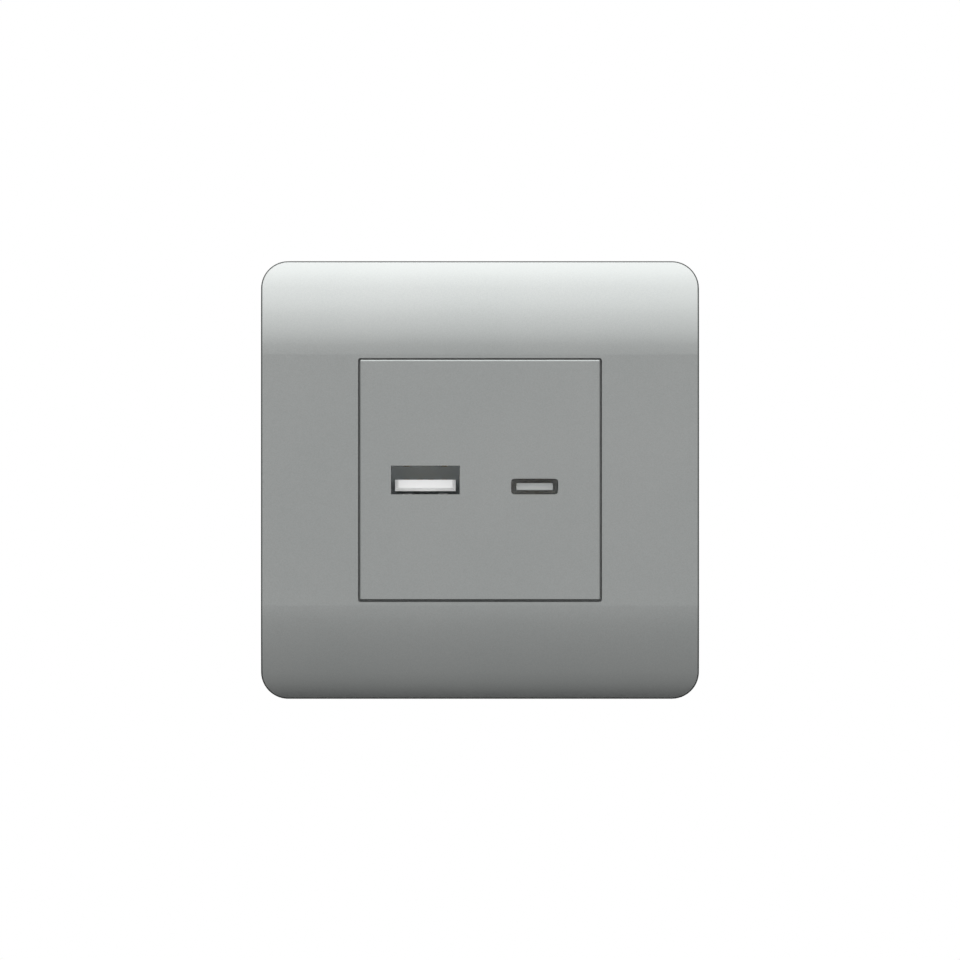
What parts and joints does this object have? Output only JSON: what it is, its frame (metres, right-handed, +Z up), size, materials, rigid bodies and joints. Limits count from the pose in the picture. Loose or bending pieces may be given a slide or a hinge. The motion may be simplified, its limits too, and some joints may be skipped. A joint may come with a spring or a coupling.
{
  "type": "usb wall socket",
  "caption": "Square wall plate, bowed along its top and bottom, round a clip-in charger module with usb-a and usb-c ports, on a support frame for a wall box.",
  "frame": {"origin": "centre of the plate on the plane of the wall, midway between the fixing slots", "axes": "+X to the right as seen from the room, +Y into the wall, +Z up; the front faces -Y"},
  "size_m": [0.081, 0.0383, 0.081],
  "materials": {
    "silver_lacquer": "satin metallic lacquer on moulded plastic",
    "frame_polyamide": "moulded glass-filled polyamide, fine matt grain",
    "housing_polycarbonate": "moulded, fine spark-eroded texture",
    "terminal_polyamide": "moulded, semi-matt",
    "nickel_steel": "nickel-plated sheet",
    "zinc_steel": "zinc-plated, passivated",
    "tinned_copper": "tin-plated strip",
    "gold_contact": "gold flash on copper alloy",
    "white_insulator": "moulded liquid crystal polymer",
    "grey_insulator": "moulded liquid crystal polymer",
    "black_moulding": "moulded, semi-matt",
    "circuit_board": "glass epoxy laminate under solder mask",
    "ferrite": "sintered, ground",
    "wound_tape": "yellow polyester tape over copper wire",
    "can_sleeve": "shrink sleeve on aluminium can",
    "film_box": "moulded box",
    "disc_dip": "dipped epoxy",
    "spacer_nylon": "moulded nylon"
  },
  "bodies": {
    "module": {"support_frame": "frame_polyamide", "front_cover": "silver_lacquer", "rear_housing": "housing_polycarbonate", "usb_board": "circuit_board", "power_board": "circuit_board", "header_strip": "black_moulding", "header_pins": "gold_contact", "usb_a_shell": "nickel_steel", "usb_a_insulator": "white_insulator", "usb_a_contact_1": "gold_contact", "usb_a_contact_2": "gold_contact", "usb_a_contact_3": "gold_contact", "usb_a_contact_4": "gold_contact", "usb_c_shell": "nickel_steel", "usb_c_insulator": "grey_insulator", "usb_c_mid_plate": "nickel_steel", "usb_c_contacts": "gold_contact", "terminal_block": "terminal_polyamide", "line_terminal_contact": "tinned_copper", "neutral_terminal_contact": "tinned_copper", "transformer_core_1": "ferrite", "transformer_core_2": "ferrite", "transformer_bobbin": "black_moulding", "transformer_winding": "wound_tape", "suppression_capacitor": "film_box", "fuse": "black_moulding", "varistor": "disc_dip", "bridging_capacitor": "disc_dip", "filter_inductor": "black_moulding", "bridge_rectifier": "black_moulding", "optocoupler": "black_moulding", "mains_controller_chip": "black_moulding", "output_rectifier_chip": "black_moulding", "port_controller_chip": "black_moulding", "port_inductor": "ferrite", "input_capacitor_1": "can_sleeve", "input_capacitor_2": "can_sleeve", "output_capacitor_1": "can_sleeve", "output_capacitor_2": "can_sleeve", "board_spacer_1": "spacer_nylon", "board_spacer_2": "spacer_nylon"},
    "plate": {"cover_plate": "silver_lacquer"},
    "line_screw": {"line_terminal_screw": "zinc_steel"},
    "line_cage": {"line_terminal_cage": "zinc_steel"},
    "neutral_screw": {"neutral_terminal_screw": "zinc_steel"},
    "neutral_cage": {"neutral_terminal_cage": "zinc_steel"}
  },
  "joints": [
    {"name": "plate_pull", "type": "slide", "parent": "module", "child": "plate", "axis": [0, -1, 0], "range_m": [0, 0.015]},
    {"name": "line_screw_turn", "type": "hinge", "parent": "module", "child": "line_screw", "pos_m": [-0.0038, 0.026, -0.0149], "axis": [0, -1, 0], "range_deg": [0, 1440]},
    {"name": "line_cage_lift", "type": "slide", "parent": "module", "child": "line_cage", "axis": [0, 1, 0], "range_m": [0, 0.002]},
    {"name": "neutral_screw_turn", "type": "hinge", "parent": "module", "child": "neutral_screw", "pos_m": [0.0038, 0.026, -0.0149], "axis": [0, -1, 0], "range_deg": [0, 1440]},
    {"name": "neutral_cage_lift", "type": "slide", "parent": "module", "child": "neutral_cage", "axis": [0, 1, 0], "range_m": [0, 0.002]}
  ],
  "couplings": [
    {"joint": "line_screw_turn", "follows": "line_cage_lift", "rad_per_m": 12566},
    {"joint": "neutral_screw_turn", "follows": "neutral_cage_lift", "rad_per_m": 12566}
  ]
}
